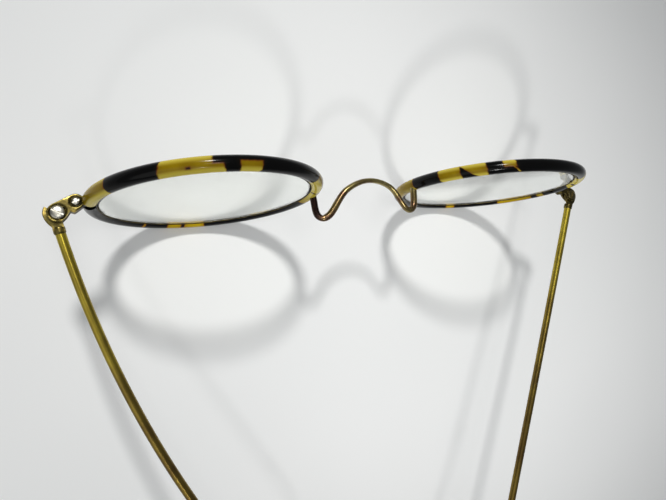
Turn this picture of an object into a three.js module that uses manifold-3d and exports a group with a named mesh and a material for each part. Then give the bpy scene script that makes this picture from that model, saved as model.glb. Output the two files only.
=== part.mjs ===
// Round eyeglasses: lenses in grooved eyewires under tortoise-patterned rim covers, a saddle
// bridge, split end pieces with hinge screws, and wire temples that end in flexible ear curls.
// Millimetres, +Z up. The glasses stand open on a table, on the two rims and the two ear tips.
//
// Each eye is drawn round its lens centre with the lens in the XZ plane, +Y away from the wearer
// and +X outward, as the wearer's right. It is then set on the table, leaning forward.

import * as THREE from 'three';
import { mergeVertices } from 'three/addons/utils/BufferGeometryUtils.js';
import Module from 'manifold-3d';

const wasm = await Module();
wasm.setup();

const degrees = THREE.MathUtils.degToRad;

// Lenses
const LENS_SPACING = 65.5;
const LENS_DIAMETER = 40.4;
const LENS_EDGE_THICKNESS = 1.4;
const LENS_SURFACE_RADIUS = 2500;
const LENS_BEVEL_HEIGHT = 1.1;
const LENS_CLEARANCE = 0.1;
const LENS_RINGS = 4;

// How the front stands: it leans forward, is a little twisted, and each lens is turned back at
// its outer end
const FRONT_LEAN = degrees(14.5);
const FRONT_TWIST = degrees(1.76);
const LEFT_WRAP = degrees(0.55);
const RIGHT_WRAP = degrees(3.1);

// Eyewires
const EYEWIRE_DEPTH = 1.5;
const EYEWIRE_WALL = 0.7;
const EYEWIRE_GROOVE_DEPTH = 0.95;
const EYEWIRE_LIP = 0.15;
const EYEWIRE_SPLIT = 0.3;
const RING_SEGMENTS = 48;

// Rim covers
const COVER_DIAMETER = 2.6;
const COVER_OUTER_WALL = 0.72;
const COVER_FIT = 0.05;
const COVER_END_CLEARANCE = 0.25;
const COVER_FACET_ANGLE = degrees(30);

// Bridge
const BRIDGE_WIRE_HEIGHT = 1.5;
const BRIDGE_WIRE_THICKNESS = 1.2;
const BRIDGE_SOLDER_HEIGHT = 0.58;
const BRIDGE_SOLDER_SHIFT = 0.3;
const BRIDGE_FOOT_BACK = 5.7;
const BRIDGE_FOOT_INSET = 1.0;
const BRIDGE_BEND_INSET = 0.4;
const BRIDGE_CREST_HEIGHT = 2.47;
const BRIDGE_CREST_FORWARD = 0.92;
const BRIDGE_NOTCH_CLEARANCE = 0.12;

// Points on the bridge's half line, as shares of its foot's depth, its width, reach and rise
const BRIDGE_BEND_DEPTH = 0.85;
const BRIDGE_FOOT = new THREE.Vector3(0.97, 0, 0.08);
const BRIDGE_LEG = new THREE.Vector3(0.845, 0.05, 0.3);
const BRIDGE_SHOULDER = new THREE.Vector3(0.46, 0.765, 0.815);

// End pieces, raised above the middle of the rims
const END_PIECE_RAISE = 1.5;
const END_PIECE_HEIGHT = 1.8;
const END_PIECE_EDGE = 0.15;
const END_PIECE_SPLIT = 0.2;
const NECK_WIDTH = 1.7;
const CLOSING_OUT = 1.55;
const CLOSING_BACK = 0.1;
const CLOSING_BOSS_RADIUS = 1.35;
const HINGE_OUT = 4.4;
const HINGE_BACK = 1.8;
const HINGE_BOSS_RADIUS = 1.7;
const SOLDER_GAP = 0.06;

// Screws
const HINGE_SHANK_RADIUS = 0.6;
const HINGE_HEAD_RADIUS = 1.1;
const HINGE_HEAD_HEIGHT = 0.4;
const CLOSING_SHANK_RADIUS = 0.34;
const CLOSING_HEAD_RADIUS = 0.6;
const CLOSING_HEAD_HEIGHT = 0.3;
const SCREW_HEAD_RIM_SHARE = 0.35;
const SCREW_HOLE_CLEARANCE = 0.06;
const SCREW_HEAD_GAP = 0.05;
const SCREW_SLOT_WIDTH = 0.26;
const SCREW_SLOT_DEPTH = 0.16;

// Temple butts
const BUTT_THICKNESS = 0.6;
const BUTT_EYE_RADIUS = 1.35;
const BUTT_EDGE = 0.08;
const BUTT_LEAF_CLEARANCE = 0.12;
const BUTT_WALL_CLEARANCE = 0.1;
const BUTT_NECK_WIDTH = 1.8;
const BUTT_NECK_LAP = 0.5;
const HEEL_RADIUS = 2.3;
const HEEL_START = degrees(5);
const HEEL_END = degrees(42);
const TEMPLE_OPEN = degrees(5);
const HEEL_FLARE_SHARE = 0.5;
const COLLAR_START = 2.1;
const COLLAR_LENGTH = 1.3;
const COLLAR_RADIUS = 1.02;
const COLLAR_SOCKET_DEPTH = 0.9;

// Temple shafts
const SHAFT_RADIUS = 0.83;
const SHAFT_FIT = 0.06;
const SHAFT_OUTSET = 0.55;
const SHAFT_LENGTH = 92;
const BOW_LENGTH = 60;

// Ear curls
const EAR_STRAIGHT = 5;
const EAR_TOP_RADIUS = 13;
const EAR_TOP_SWEEP = degrees(80);
const EAR_BACK_RADIUS = 18;
const EAR_BACK_SWEEP = degrees(75);
const CABLE_RADIUS = 0.8;
const CORE_RADIUS = 0.38;
const CORE_FIT = 0.12;
const FERRULE_LENGTH = 5;
const FERRULE_WALL = 0.25;
const FERRULE_CHAMFER = 0.12;
const TIP_RADIUS = 1.15;
const TIP_LENGTH = 3.0;
const TIP_MOUTH_RADIUS = 0.9;
const TIP_HOLE_DEPTH = 1.6;
const EAR_JOINT_GAP = 0.1;

// The two temples: how far each is folded in, how much its shaft bows inward along BOW_LENGTH,
// and how far in it can fold
const LEFT_FOLD = degrees(10.6);
const LEFT_BOW = degrees(17.1);
const LEFT_CLOSED = degrees(72);
const RIGHT_FOLD = degrees(14.6);
const RIGHT_BOW = degrees(0.7);
const RIGHT_CLOSED = degrees(82);

// Facets round a screw or a hole, round a wire, a cable, a core and an ear tip
const SCREW_SIDES = 16;
const WIRE_SIDES = 10;
const CABLE_SIDES = 8;
const CORE_SIDES = 6;
const TIP_SIDES = 12;

// Facets along an arc of an outline and up a dome, and steps along each swept piece
const ARC_SEGMENTS = 5;
const DOME_STEPS = 3;
const BRIDGE_STEPS = 40;
const SHAFT_STEPS = 12;
const EAR_STEPS = 24;

// The steepest drop of a shaft that is tried, and the halvings that find the one that stands
const DROP_LIMIT = degrees(30);
const DROP_HALVINGS = 40;

// Vertices closer than this are one vertex.
const WELD_DISTANCE = 1e-4;

// Sizes that follow from the driving ones
const lensRadius = LENS_DIAMETER / 2;
const grooveBottom = lensRadius + LENS_CLEARANCE;
const eyewireInner = grooveBottom - EYEWIRE_GROOVE_DEPTH;
const eyewireOuter = grooveBottom + EYEWIRE_WALL;
const coverRadius = COVER_DIAMETER / 2;
const coverCentre = eyewireOuter + COVER_FIT + COVER_OUTER_WALL - coverRadius;
const lensCentre = LENS_SPACING / 2;
const endPieceTop = END_PIECE_HEIGHT / 2;
const solderRadius = coverCentre + BRIDGE_SOLDER_SHIFT;
const hinge = new THREE.Vector2(eyewireOuter + HINGE_OUT, -HINGE_BACK);
const closing = new THREE.Vector2(eyewireOuter + CLOSING_OUT, -CLOSING_BACK);
const slotHeight = BUTT_THICKNESS + 2 * BUTT_LEAF_CLEARANCE;
const shaftStart = COLLAR_START + COLLAR_LENGTH - COLLAR_SOCKET_DEPTH + SHAFT_FIT;

// Each side, with the way its outside faces
const SIDES = [
  {
    name: 'left',
    sign: -1,
    lean: FRONT_LEAN + FRONT_TWIST,
    wrap: LEFT_WRAP,
    fold: LEFT_FOLD,
    bow: LEFT_BOW,
    closed: LEFT_CLOSED,
  },
  {
    name: 'right',
    sign: 1,
    lean: FRONT_LEAN - FRONT_TWIST,
    wrap: RIGHT_WRAP,
    fold: RIGHT_FOLD,
    bow: RIGHT_BOW,
    closed: RIGHT_CLOSED,
  },
];

// Solids: closed triangle meshes, their joins and their cuts

function signedVolume(positions, triangles) {
  const a = new THREE.Vector3();
  const b = new THREE.Vector3();
  const c = new THREE.Vector3();
  let volume = 0;
  for (let i = 0; i < triangles.count; i += 3) {
    a.fromBufferAttribute(positions, triangles.getX(i));
    b.fromBufferAttribute(positions, triangles.getX(i + 1));
    c.fromBufferAttribute(positions, triangles.getX(i + 2));
    volume += a.dot(b.cross(c)) / 6;
  }
  return volume;
}

// Keeps positions only, merges shared vertices and turns the faces outward.
function closed(geometry) {
  const bare = new THREE.BufferGeometry();
  bare.setAttribute('position', geometry.getAttribute('position').clone());
  bare.setIndex(geometry.index ? geometry.index.clone() : null);
  const merged = mergeVertices(bare, WELD_DISTANCE);
  const triangles = [];
  for (let i = 0; i < merged.index.count; i += 3) {
    const corner = [0, 1, 2].map((k) => merged.index.getX(i + k));
    const isFace = corner[0] !== corner[1] && corner[1] !== corner[2] && corner[2] !== corner[0];
    if (isFace) triangles.push(...corner);
  }
  merged.setIndex(triangles);
  if (signedVolume(merged.getAttribute('position'), merged.index) < 0) {
    merged.setIndex(triangles.reverse());
  }
  return merged;
}

function solid(geometry) {
  const mesh = closed(geometry);
  const vertProperties = new Float32Array(mesh.getAttribute('position').array);
  const triVerts = new Uint32Array(mesh.index.array);
  return new wasm.Manifold(new wasm.Mesh({ numProp: 3, vertProperties, triVerts }));
}

function geometryOf(manifold) {
  const mesh = manifold.getMesh();
  const geometry = new THREE.BufferGeometry();
  geometry.setAttribute('position', new THREE.BufferAttribute(mesh.vertProperties, mesh.numProp));
  geometry.setIndex(new THREE.BufferAttribute(mesh.triVerts, 1));
  return geometry;
}

// Pieces are drawn for the wearer's right, and mirrored for the left.
function sided(geometry, sign) {
  const copy = geometry.clone();
  copy.scale(sign, 1, 1);
  return closed(copy);
}

// Basic shapes

function box(width, depth, height, x, y, z) {
  return new THREE.BoxGeometry(width, depth, height).translate(x, y, z);
}

function uprightCylinder(radius, height, x, y, z) {
  const cylinder = new THREE.CylinderGeometry(radius, radius, height, SCREW_SIDES);
  return cylinder.rotateX(Math.PI / 2).translate(x, y, z);
}

// A plate of even thickness round z = 0, with its edges broken by a small bevel.
function plate(outline, thickness, edge) {
  const geometry = new THREE.ExtrudeGeometry(outline, {
    depth: thickness - 2 * edge,
    bevelEnabled: edge > 0,
    bevelThickness: edge,
    bevelSize: edge,
    bevelOffset: -edge,
    bevelSegments: 1,
    curveSegments: ARC_SEGMENTS,
  });
  return geometry.translate(0, 0, edge - thickness / 2);
}

// A closed profile of radius and depth, turned about the lens axis. A facet, not a corner,
// lies at the top, the bottom and both sides of the ring.
function ring(profile) {
  const points = [...profile, profile[0]];
  return new THREE.LatheGeometry(points, RING_SEGMENTS, Math.PI / RING_SEGMENTS);
}

// The outline round two circles and their outer tangents
function taperedLink(a, radiusA, b, radiusB) {
  const direction = Math.atan2(b.y - a.y, b.x - a.x);
  const spread = Math.acos((radiusA - radiusB) / a.distanceTo(b));
  const outline = new THREE.Shape();
  outline.absarc(a.x, a.y, radiusA, direction + spread, direction - spread + 2 * Math.PI);
  outline.absarc(b.x, b.y, radiusB, direction - spread, direction + spread);
  return outline;
}

// A quarter of an ellipse for a turned profile, from the foot of a dome up to the axis
function domeProfile(radius, foot, height) {
  const points = [];
  for (let i = 0; i < DOME_STEPS; i += 1) {
    const angle = (Math.PI / 2) * (i / DOME_STEPS);
    points.push(new THREE.Vector2(radius * Math.cos(angle), foot + height * Math.sin(angle)));
  }
  points.push(new THREE.Vector2(0, foot + height));
  return points;
}

function disc(radius) {
  const outline = new THREE.Shape();
  outline.absarc(0, 0, radius, 0, 2 * Math.PI);
  return outline;
}

// A wire, or a tube where the section has a hole, along a path. A round section has two
// sides for each curve segment.
function swept(section, path, steps, sides) {
  return new THREE.ExtrudeGeometry(section, {
    extrudePath: path,
    steps,
    curveSegments: sides / 2,
    bevelEnabled: false,
  });
}

// Lenses and rims, each drawn round its own lens centre

function lensGeometry() {
  const edgeRadius = lensRadius - LENS_BEVEL_HEIGHT;
  const sag = (r) => LENS_SURFACE_RADIUS - Math.sqrt(LENS_SURFACE_RADIUS ** 2 - r ** 2);
  const front = [];
  for (let i = 0; i <= LENS_RINGS; i += 1) {
    const r = (edgeRadius * i) / LENS_RINGS;
    const y = LENS_EDGE_THICKNESS / 2 + sag(edgeRadius) - sag(r);
    front.push(new THREE.Vector2(r, y));
  }
  const bevelTip = new THREE.Vector2(lensRadius, 0);
  const back = front.map((p) => new THREE.Vector2(p.x, -p.y)).reverse();
  const profile = [...front, bevelTip, ...back];
  return new THREE.LatheGeometry(profile, RING_SEGMENTS, Math.PI / RING_SEGMENTS);
}

function eyewireGeometry() {
  const half = EYEWIRE_DEPTH / 2;
  const mouth = half - EYEWIRE_LIP;
  const profile = [
    new THREE.Vector2(eyewireInner, half),
    new THREE.Vector2(eyewireOuter, half),
    new THREE.Vector2(eyewireOuter, -half),
    new THREE.Vector2(eyewireInner, -half),
    new THREE.Vector2(eyewireInner, -mouth),
    new THREE.Vector2(grooveBottom, 0),
    new THREE.Vector2(eyewireInner, mouth),
  ];
  const cut = box(COVER_DIAMETER, 2 * EYEWIRE_DEPTH, EYEWIRE_SPLIT, coverCentre, 0, END_PIECE_RAISE);
  return geometryOf(solid(ring(profile)).subtract(solid(cut)));
}

// The round sheath in section: its outside is an arc from lip to lip, its inside a square
// channel for the eyewire. One facet of the arc is square to the table when the front leans.
function coverProfile(lean) {
  const channel = EYEWIRE_DEPTH / 2 + COVER_FIT;
  const lip = Math.PI - Math.asin(channel / coverRadius);
  const onArc = (angle) => new THREE.Vector2(
    coverCentre + coverRadius * Math.cos(angle),
    coverRadius * Math.sin(angle),
  );
  const facets = Math.ceil(lip / COVER_FACET_ANGLE) + 1;
  const profile = [onArc(lip)];
  for (let k = facets; k >= -facets; k -= 1) {
    const angle = lean + (k + 0.5) * COVER_FACET_ANGLE;
    if (Math.abs(angle) < lip - COVER_FACET_ANGLE / 4) profile.push(onArc(angle));
  }
  profile.push(onArc(-lip));
  profile.push(new THREE.Vector2(eyewireOuter + COVER_FIT, -channel));
  profile.push(new THREE.Vector2(eyewireOuter + COVER_FIT, channel));
  return profile;
}

function coverGeometry(lean) {
  const screwTop = endPieceTop + SCREW_HEAD_GAP + CLOSING_HEAD_HEIGHT;
  const gap = 2 * (screwTop + COVER_END_CLEARANCE);
  const gapWidth = 2 * COVER_DIAMETER;
  const endPieceGap = box(gapWidth, gapWidth, gap, coverCentre, 0, END_PIECE_RAISE);
  const notch = new THREE.BoxGeometry(
    BRIDGE_WIRE_THICKNESS + 2 * BRIDGE_NOTCH_CLEARANCE,
    COVER_DIAMETER,
    BRIDGE_WIRE_HEIGHT + 2 * BRIDGE_NOTCH_CLEARANCE,
  );
  notch.translate(-solderRadius, -COVER_DIAMETER / 2, BRIDGE_SOLDER_HEIGHT);
  const sheath = solid(ring(coverProfile(lean)));
  return geometryOf(sheath.subtract(solid(endPieceGap)).subtract(solid(notch)));
}

// A point of the bridge, drawn from the middle of the front: the bridge takes up the difference
// between the two rims' places evenly across its width.
function bridged(point) {
  const width = 2 * (lensCentre - solderRadius);
  const share = THREE.MathUtils.clamp(0.5 + point.x / width, 0, 1);
  const [left, right] = SIDES.map((side) => {
    const fromLens = new THREE.Vector3(-side.sign * lensCentre, 0, 0).add(point);
    return fromLens.applyMatrix4(side.place);
  });
  return left.lerp(right, share);
}

// The bridge: from one eyewire back to its foot, over the crest and on to the other eyewire
function bridgeGeometry() {
  const solderX = lensCentre - solderRadius;
  const solderY = -EYEWIRE_DEPTH / 2 - SOLDER_GAP;
  const bendY = -BRIDGE_BEND_DEPTH * BRIDGE_FOOT_BACK;
  const foot = new THREE.Vector3(0, -BRIDGE_FOOT_BACK, BRIDGE_SOLDER_HEIGHT);
  const size = new THREE.Vector3(
    solderX - BRIDGE_FOOT_INSET,
    BRIDGE_CREST_FORWARD + BRIDGE_FOOT_BACK,
    BRIDGE_CREST_HEIGHT - BRIDGE_SOLDER_HEIGHT,
  );
  const half = [
    new THREE.Vector3(solderX, solderY, BRIDGE_SOLDER_HEIGHT),
    new THREE.Vector3(solderX - BRIDGE_BEND_INSET, bendY, BRIDGE_SOLDER_HEIGHT),
    BRIDGE_FOOT.clone().multiply(size).add(foot),
    BRIDGE_LEG.clone().multiply(size).add(foot),
    BRIDGE_SHOULDER.clone().multiply(size).add(foot),
  ];
  const crest = new THREE.Vector3(0, BRIDGE_CREST_FORWARD, BRIDGE_CREST_HEIGHT);
  const mirrored = half.map((p) => new THREE.Vector3(-p.x, p.y, p.z)).reverse();
  const line = new THREE.CatmullRomCurve3([...half, crest, ...mirrored].map(bridged));
  const section = new THREE.Shape();
  section.absellipse(0, 0, BRIDGE_WIRE_THICKNESS / 2, BRIDGE_WIRE_HEIGHT / 2, 0, 2 * Math.PI);
  return swept(section, line, BRIDGE_STEPS, WIRE_SIDES);
}

// End pieces: one block sawn in two at the eyewire's split, with a slot for the temple butt.
// The block is drawn round the saw cut, at z = 0.

// The room that a temple sweeps as it folds, from some distance off the hinge axis outward: its
// front wall lies ahead of the closed temple's line.
function foldRoom(front, start, height, closedFold) {
  const size = 4 * HINGE_OUT;
  const room = box(size, size, height, size / 2 - front, -start - size / 2, 0);
  return room.rotateZ(-closedFold).translate(hinge.x, hinge.y, 0);
}

// The room that the heel sweeps: the wall that is left past it stops the heel of an open temple.
function heelRoom() {
  const size = 4 * HINGE_OUT;
  const room = box(size, size, slotHeight, 0, BUTT_LEAF_CLEARANCE - size / 2, 0);
  return room.rotateZ(HEEL_END + TEMPLE_OPEN).translate(hinge.x, hinge.y, 0);
}

function endPieceBlock(side) {
  const body = plate(
    taperedLink(closing, CLOSING_BOSS_RADIUS, hinge, HINGE_BOSS_RADIUS),
    END_PIECE_HEIGHT,
    END_PIECE_EDGE,
  );
  const neckLength = closing.x - eyewireInner;
  const neck = box(
    neckLength,
    NECK_WIDTH,
    END_PIECE_HEIGHT - 2 * END_PIECE_EDGE,
    eyewireInner + neckLength / 2,
    0,
    0,
  );
  const eyeSlot = uprightCylinder(BUTT_EYE_RADIUS + BUTT_WALL_CLEARANCE, slotHeight, hinge.x, hinge.y, 0);
  const neckFront = BUTT_NECK_WIDTH / 2 - SHAFT_OUTSET + BUTT_LEAF_CLEARANCE;
  const neckSlot = foldRoom(neckFront, 0, slotHeight, side.closed);
  const heelSlot = heelRoom();
  const collarFront = COLLAR_RADIUS - SHAFT_OUTSET + BUTT_LEAF_CLEARANCE;
  const collarNearest = COLLAR_START * Math.cos(side.drop) - COLLAR_RADIUS * Math.sin(side.drop);
  const collarStart = collarNearest - BUTT_LEAF_CLEARANCE;
  const collarRelief = foldRoom(collarFront, collarStart, 2 * END_PIECE_HEIGHT, side.closed);
  const hingeHole = uprightCylinder(
    HINGE_SHANK_RADIUS + SCREW_HOLE_CLEARANCE,
    2 * END_PIECE_HEIGHT,
    hinge.x,
    hinge.y,
    0,
  );
  const closingHole = uprightCylinder(
    CLOSING_SHANK_RADIUS + SCREW_HOLE_CLEARANCE,
    2 * END_PIECE_HEIGHT,
    closing.x,
    closing.y,
    0,
  );
  const rimSeat = new THREE.CylinderGeometry(
    eyewireOuter + SOLDER_GAP,
    eyewireOuter + SOLDER_GAP,
    4 * COVER_DIAMETER,
    RING_SEGMENTS,
    1,
    false,
    Math.PI / RING_SEGMENTS,
  );
  rimSeat.translate(0, 0, -END_PIECE_RAISE);
  let block = solid(body).add(solid(neck));
  for (const cut of [rimSeat, eyeSlot, neckSlot, heelSlot, collarRelief, hingeHole, closingHole]) {
    block = block.subtract(solid(cut));
  }
  return block;
}

// Keeps the part of the block above the saw cut, or the part below it.
function endPieceHalf(block, up) {
  const size = 4 * (HINGE_OUT + HINGE_BACK + HINGE_BOSS_RADIUS);
  const other = box(size, size, size, hinge.x, hinge.y, (up * (END_PIECE_SPLIT - size)) / 2);
  return geometryOf(block.subtract(solid(other)));
}

// A slotted screw with a domed head that stands on top of the end piece
function screwGeometry(shankRadius, headRadius, headHeight) {
  const underHead = endPieceTop + SCREW_HEAD_GAP;
  const top = underHead + headHeight;
  const shoulder = underHead + SCREW_HEAD_RIM_SHARE * headHeight;
  const profile = [
    new THREE.Vector2(0, -endPieceTop),
    new THREE.Vector2(shankRadius, -endPieceTop),
    new THREE.Vector2(shankRadius, underHead),
    new THREE.Vector2(headRadius, underHead),
    ...domeProfile(headRadius, shoulder, top - shoulder),
  ];
  const turned = new THREE.LatheGeometry(profile, SCREW_SIDES).rotateX(Math.PI / 2);
  const slot = box(3 * headRadius, SCREW_SLOT_WIDTH, 2 * SCREW_SLOT_DEPTH, 0, 0, top);
  return geometryOf(solid(turned).subtract(solid(slot)));
}

// Temples, drawn straight back from the hinge: the hinge axis is z, the shaft leaves along -Y

// A point at some distance along the shaft's line: distance back, and height
function alongShaft(distance, drop) {
  return new THREE.Vector2(distance * Math.cos(drop), -distance * Math.sin(drop));
}

// A side profile (distance back, height) bent sideways: the bow turns it inward along BOW_LENGTH.
class BowedLine extends THREE.Curve {
  constructor(profile, bow) {
    super();
    this.profile = profile;
    this.bow = bow;
  }

  getPoint(t, target = new THREE.Vector3()) {
    const { x: back, y: height } = this.profile.getPoint(t);
    const radius = BOW_LENGTH / this.bow;
    const turn = Math.min(back, BOW_LENGTH) / radius;
    const beyond = Math.max(back - BOW_LENGTH, 0);
    const inward = radius * (1 - Math.cos(turn)) + beyond * Math.sin(turn);
    const rearward = radius * Math.sin(turn) + beyond * Math.cos(turn);
    return target.set(SHAFT_OUTSET - inward, -rearward, height);
  }
}

function shaftLine(side) {
  const { bow, drop } = side;
  const profile = new THREE.LineCurve(alongShaft(shaftStart, drop), alongShaft(SHAFT_LENGTH, drop));
  return new BowedLine(profile, bow);
}

// The ear curl: a short straight run, an arc over the ear and a wider one behind it. Past the
// second arc the line can run on straight, into the ear tip.
function earLine(side, runOn) {
  const { bow, drop } = side;
  const profile = new THREE.Path();
  const start = alongShaft(SHAFT_LENGTH + EAR_JOINT_GAP, drop);
  const bendStart = alongShaft(SHAFT_LENGTH + EAR_STRAIGHT, drop);
  const first = Math.PI / 2 - drop;
  const second = first - EAR_TOP_SWEEP;
  const last = second - EAR_BACK_SWEEP;
  const outward = (angle) => new THREE.Vector2(Math.cos(angle), Math.sin(angle));
  const topCentre = bendStart.clone().addScaledVector(outward(first), -EAR_TOP_RADIUS);
  const backShift = EAR_TOP_RADIUS - EAR_BACK_RADIUS;
  const backCentre = topCentre.clone().addScaledVector(outward(second), backShift);
  profile.moveTo(start.x, start.y);
  profile.lineTo(bendStart.x, bendStart.y);
  profile.absarc(topCentre.x, topCentre.y, EAR_TOP_RADIUS, first, second, true);
  profile.absarc(backCentre.x, backCentre.y, EAR_BACK_RADIUS, second, last, true);
  if (runOn > 0) {
    const end = backCentre.clone().addScaledVector(outward(last), EAR_BACK_RADIUS);
    const heading = outward(last - Math.PI / 2);
    end.addScaledVector(heading, runOn);
    profile.lineTo(end.x, end.y);
  }
  return new BowedLine(profile, bow);
}

// Sets a turned piece, drawn along +Y, on a line: its origin at the point, its axis on the tangent.
function onLine(geometry, point, tangent) {
  const turn = new THREE.Quaternion().setFromUnitVectors(new THREE.Vector3(0, 1, 0), tangent);
  return geometry.applyQuaternion(turn).translate(point.x, point.y, point.z);
}

// The eye's outline: a round eye, a heel on the outer front that stops the opening, and a neck
function buttOutline() {
  const outline = new THREE.Shape();
  const neckOutside = SHAFT_OUTSET + BUTT_NECK_WIDTH / 2;
  const neckInside = SHAFT_OUTSET - BUTT_NECK_WIDTH / 2;
  const neckEnd = -COLLAR_START - BUTT_NECK_LAP;
  const heelX = HEEL_RADIUS * Math.cos(HEEL_START);
  const heelY = HEEL_RADIUS * Math.sin(HEEL_START);
  const eyeEnd = 2 * Math.PI - Math.acos(neckInside / BUTT_EYE_RADIUS);
  outline.moveTo(neckOutside, neckEnd);
  outline.lineTo(neckOutside, -COLLAR_START);
  outline.quadraticCurveTo(heelX, -HEEL_FLARE_SHARE * COLLAR_START, heelX, heelY);
  outline.absarc(0, 0, HEEL_RADIUS, HEEL_START, HEEL_END);
  outline.absarc(0, 0, BUTT_EYE_RADIUS, HEEL_END, eyeEnd);
  outline.lineTo(neckInside, neckEnd);
  return outline;
}

function buttGeometry(side) {
  const eye = plate(buttOutline(), BUTT_THICKNESS, BUTT_EDGE);
  const line = new THREE.Vector3(0, -Math.cos(side.drop), -Math.sin(side.drop));
  const collar = new THREE.CylinderGeometry(COLLAR_RADIUS, COLLAR_RADIUS, COLLAR_LENGTH, SCREW_SIDES);
  const origin = new THREE.Vector3(SHAFT_OUTSET, 0, 0);
  const collarCentre = origin.clone().addScaledVector(line, COLLAR_START + COLLAR_LENGTH / 2);
  const socketRadius = SHAFT_RADIUS + SHAFT_FIT;
  const socket = new THREE.CylinderGeometry(
    socketRadius,
    socketRadius,
    2 * COLLAR_SOCKET_DEPTH,
    SCREW_SIDES,
  );
  const socketCentre = origin.clone().addScaledVector(line, COLLAR_START + COLLAR_LENGTH);
  const pivotRadius = HINGE_SHANK_RADIUS + SCREW_HOLE_CLEARANCE;
  const pivot = uprightCylinder(pivotRadius, 2 * BUTT_THICKNESS, 0, 0, 0);
  const whole = solid(eye).add(solid(onLine(collar, collarCentre, line)));
  return geometryOf(
    whole.subtract(solid(pivot)).subtract(solid(onLine(socket, socketCentre, line))),
  );
}

function shaftGeometry(side) {
  return swept(disc(SHAFT_RADIUS), shaftLine(side), SHAFT_STEPS, WIRE_SIDES);
}

function cableGeometry(side) {
  const section = disc(CABLE_RADIUS);
  section.holes.push(disc(CORE_RADIUS + CORE_FIT));
  return swept(section, earLine(side, 0), EAR_STEPS, CABLE_SIDES);
}

function coreGeometry(side) {
  const runOn = TIP_HOLE_DEPTH - EAR_JOINT_GAP;
  return swept(disc(CORE_RADIUS), earLine(side, runOn), EAR_STEPS, CORE_SIDES);
}

function ferruleGeometry(side) {
  const bore = Math.max(SHAFT_RADIUS, CABLE_RADIUS) + SHAFT_FIT;
  const outer = bore + FERRULE_WALL;
  const half = FERRULE_LENGTH / 2;
  const profile = [
    new THREE.Vector2(bore, -half),
    new THREE.Vector2(outer - FERRULE_CHAMFER, -half),
    new THREE.Vector2(outer, FERRULE_CHAMFER - half),
    new THREE.Vector2(outer, half - FERRULE_CHAMFER),
    new THREE.Vector2(outer - FERRULE_CHAMFER, half),
    new THREE.Vector2(bore, half),
    new THREE.Vector2(bore, -half),
  ];
  const line = shaftLine(side);
  const sleeve = new THREE.LatheGeometry(profile, SCREW_SIDES);
  return onLine(sleeve, line.getPoint(1), line.getTangent(1));
}

// The bullet-shaped ear tip, with a blind hole for the end of the core
function tipProfile() {
  const holeRadius = CORE_RADIUS + CORE_FIT;
  return [
    new THREE.Vector2(0, TIP_HOLE_DEPTH + EAR_JOINT_GAP),
    new THREE.Vector2(holeRadius, TIP_HOLE_DEPTH + EAR_JOINT_GAP),
    new THREE.Vector2(holeRadius, EAR_JOINT_GAP),
    new THREE.Vector2(TIP_MOUTH_RADIUS, EAR_JOINT_GAP),
    ...domeProfile(TIP_RADIUS, TIP_LENGTH - TIP_RADIUS, TIP_RADIUS),
  ];
}

function tipGeometry(side) {
  const line = earLine(side, 0);
  const bullet = new THREE.LatheGeometry(tipProfile(), TIP_SIDES);
  return onLine(bullet, line.getPoint(1), line.getTangent(1));
}

// How the glasses stand: each rim and each ear tip touches the table

function rimTurn(side) {
  const turn = new THREE.Euler(-side.lean, 0, -side.sign * side.wrap, 'ZXY');
  return new THREE.Quaternion().setFromEuler(turn);
}

// The place of a side's lens centre, with its rim on the table
function standingPlace(side) {
  const turn = rimTurn(side);
  const rim = sided(coverGeometry(side.lean), side.sign).applyQuaternion(turn);
  rim.computeBoundingBox();
  const centre = new THREE.Vector3(side.sign * lensCentre, 0, -rim.boundingBox.min.z);
  return new THREE.Matrix4().compose(centre, turn, new THREE.Vector3(1, 1, 1));
}

// Height above the table of the middle of an ear tip's dome, for some drop of the shaft
function tipHeight(side, drop) {
  const line = earLine({ ...side, drop }, 0);
  const centre = line.getPoint(1).addScaledVector(line.getTangent(1), TIP_LENGTH - TIP_RADIUS);
  centre.applyAxisAngle(new THREE.Vector3(0, 0, 1), -side.fold);
  centre.add(new THREE.Vector3(hinge.x, hinge.y, END_PIECE_RAISE));
  centre.x *= side.sign;
  return centre.applyMatrix4(side.place).z;
}

function standingDrop(side) {
  let low = 0;
  let high = DROP_LIMIT;
  for (let i = 0; i < DROP_HALVINGS; i += 1) {
    const drop = (low + high) / 2;
    if (tipHeight(side, drop) > TIP_RADIUS) low = drop;
    else high = drop;
  }
  return low;
}

// Materials

const glass = { color: 0xeef4f2, roughness: 0.02, metalness: 0, transparent: true, opacity: 0.3 };
const tortoise = { color: 0x6b4210, roughness: 0.15, metalness: 0 };
const brass = { color: 0x8f7a3a, roughness: 0.35, metalness: 1 };
const wornBrass = { color: 0x7a6a3c, roughness: 0.4, metalness: 1 };
const steel = { color: 0xc9c8bd, roughness: 0.25, metalness: 1 };

function piece(name, geometry, look) {
  const mesh = new THREE.Mesh(geometry, new THREE.MeshStandardMaterial(look));
  mesh.geometry.computeVertexNormals();
  mesh.name = name;
  return mesh;
}

// Assembly

const glasses = new THREE.Group();
const standing = new THREE.Group();
glasses.add(standing);

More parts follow.
